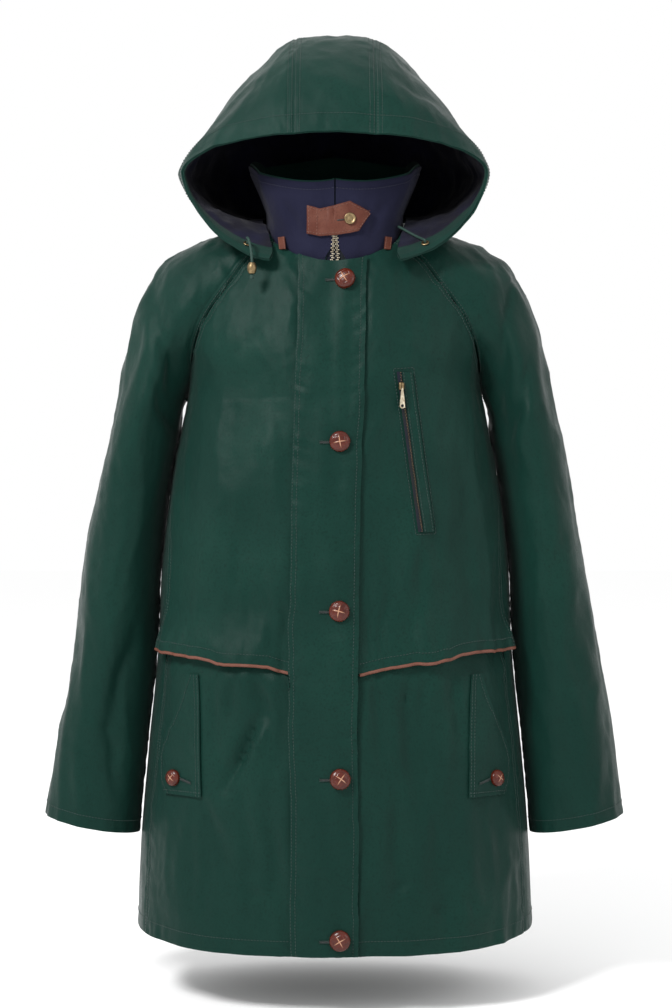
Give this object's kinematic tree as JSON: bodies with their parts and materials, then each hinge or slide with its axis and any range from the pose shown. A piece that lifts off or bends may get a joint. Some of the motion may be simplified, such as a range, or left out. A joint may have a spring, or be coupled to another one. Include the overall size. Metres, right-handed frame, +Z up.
{
  "type": "hooded parka",
  "caption": "Thigh-length hooded parka, filled out with no wearer, with a buttoned storm fly, a funnel collar, hip flaps, slanted pockets and raglan sleeves.",
  "frame": {"origin": "middle of the neck's base, where the wearer's shoulders and neck carry the coat", "axes": "+Z up to the hood, -Y out of the front, +X to the wearer's left"},
  "size_m": [0.671, 0.3146, 1.045],
  "materials": {
    "green_cloth": "satin coated cloth",
    "navy_cloth": "matt cotton",
    "navy_lining": "matt lining",
    "tan_leather": "matt leather",
    "brown_leather": "semi-gloss woven leather",
    "antique_brass": "antique brass",
    "zip_tape": "matt woven tape",
    "green_cord": "matt cord"
  },
  "bodies": {
    "coat": {"back": "green_cloth", "button_1": "brown_leather", "button_2": "brown_leather", "button_3": "brown_leather", "button_4": "brown_leather", "button_5": "brown_leather", "chest_slider": "antique_brass", "chest_welt": "green_cloth", "chest_zip": "zip_tape", "collar_inner": "green_cloth", "collar_outer": "navy_cloth", "cord_bead": "antique_brass", "cord_knot": "green_cord", "eyelet_left": "antique_brass", "eyelet_right": "antique_brass", "front_left": "green_cloth", "front_right": "green_cloth", "front_zip": "zip_tape", "hood_centre": "green_cloth", "hood_cord_left": "green_cord", "hood_cord_right": "green_cord", "hood_facing": "green_cloth", "hood_left": "green_cloth", "hood_lining": "navy_lining", "hood_right": "green_cloth", "neck_tab_left": "tan_leather", "neck_tab_right": "tan_leather", "piping_left": "tan_leather", "piping_right": "tan_leather", "pocket_button_left": "brown_leather", "pocket_button_right": "brown_leather", "pocket_left": "green_cloth", "pocket_right": "green_cloth", "skirt_left": "green_cloth", "skirt_right": "green_cloth", "sleeve_left": "green_cloth", "sleeve_right": "green_cloth", "storm_fly": "green_cloth", "tab_button": "antique_brass", "throat_tab": "tan_leather"},
    "pull_tab": {"chest_pull": "antique_brass"}
  },
  "joints": [
    {"name": "pull_tab_swing", "type": "hinge", "parent": "coat", "child": "pull_tab", "pos_m": [0.07519, -0.12643, -0.17921], "axis": [-0.9525, -0.3047, 0], "range_deg": [0, 150]}
  ]
}
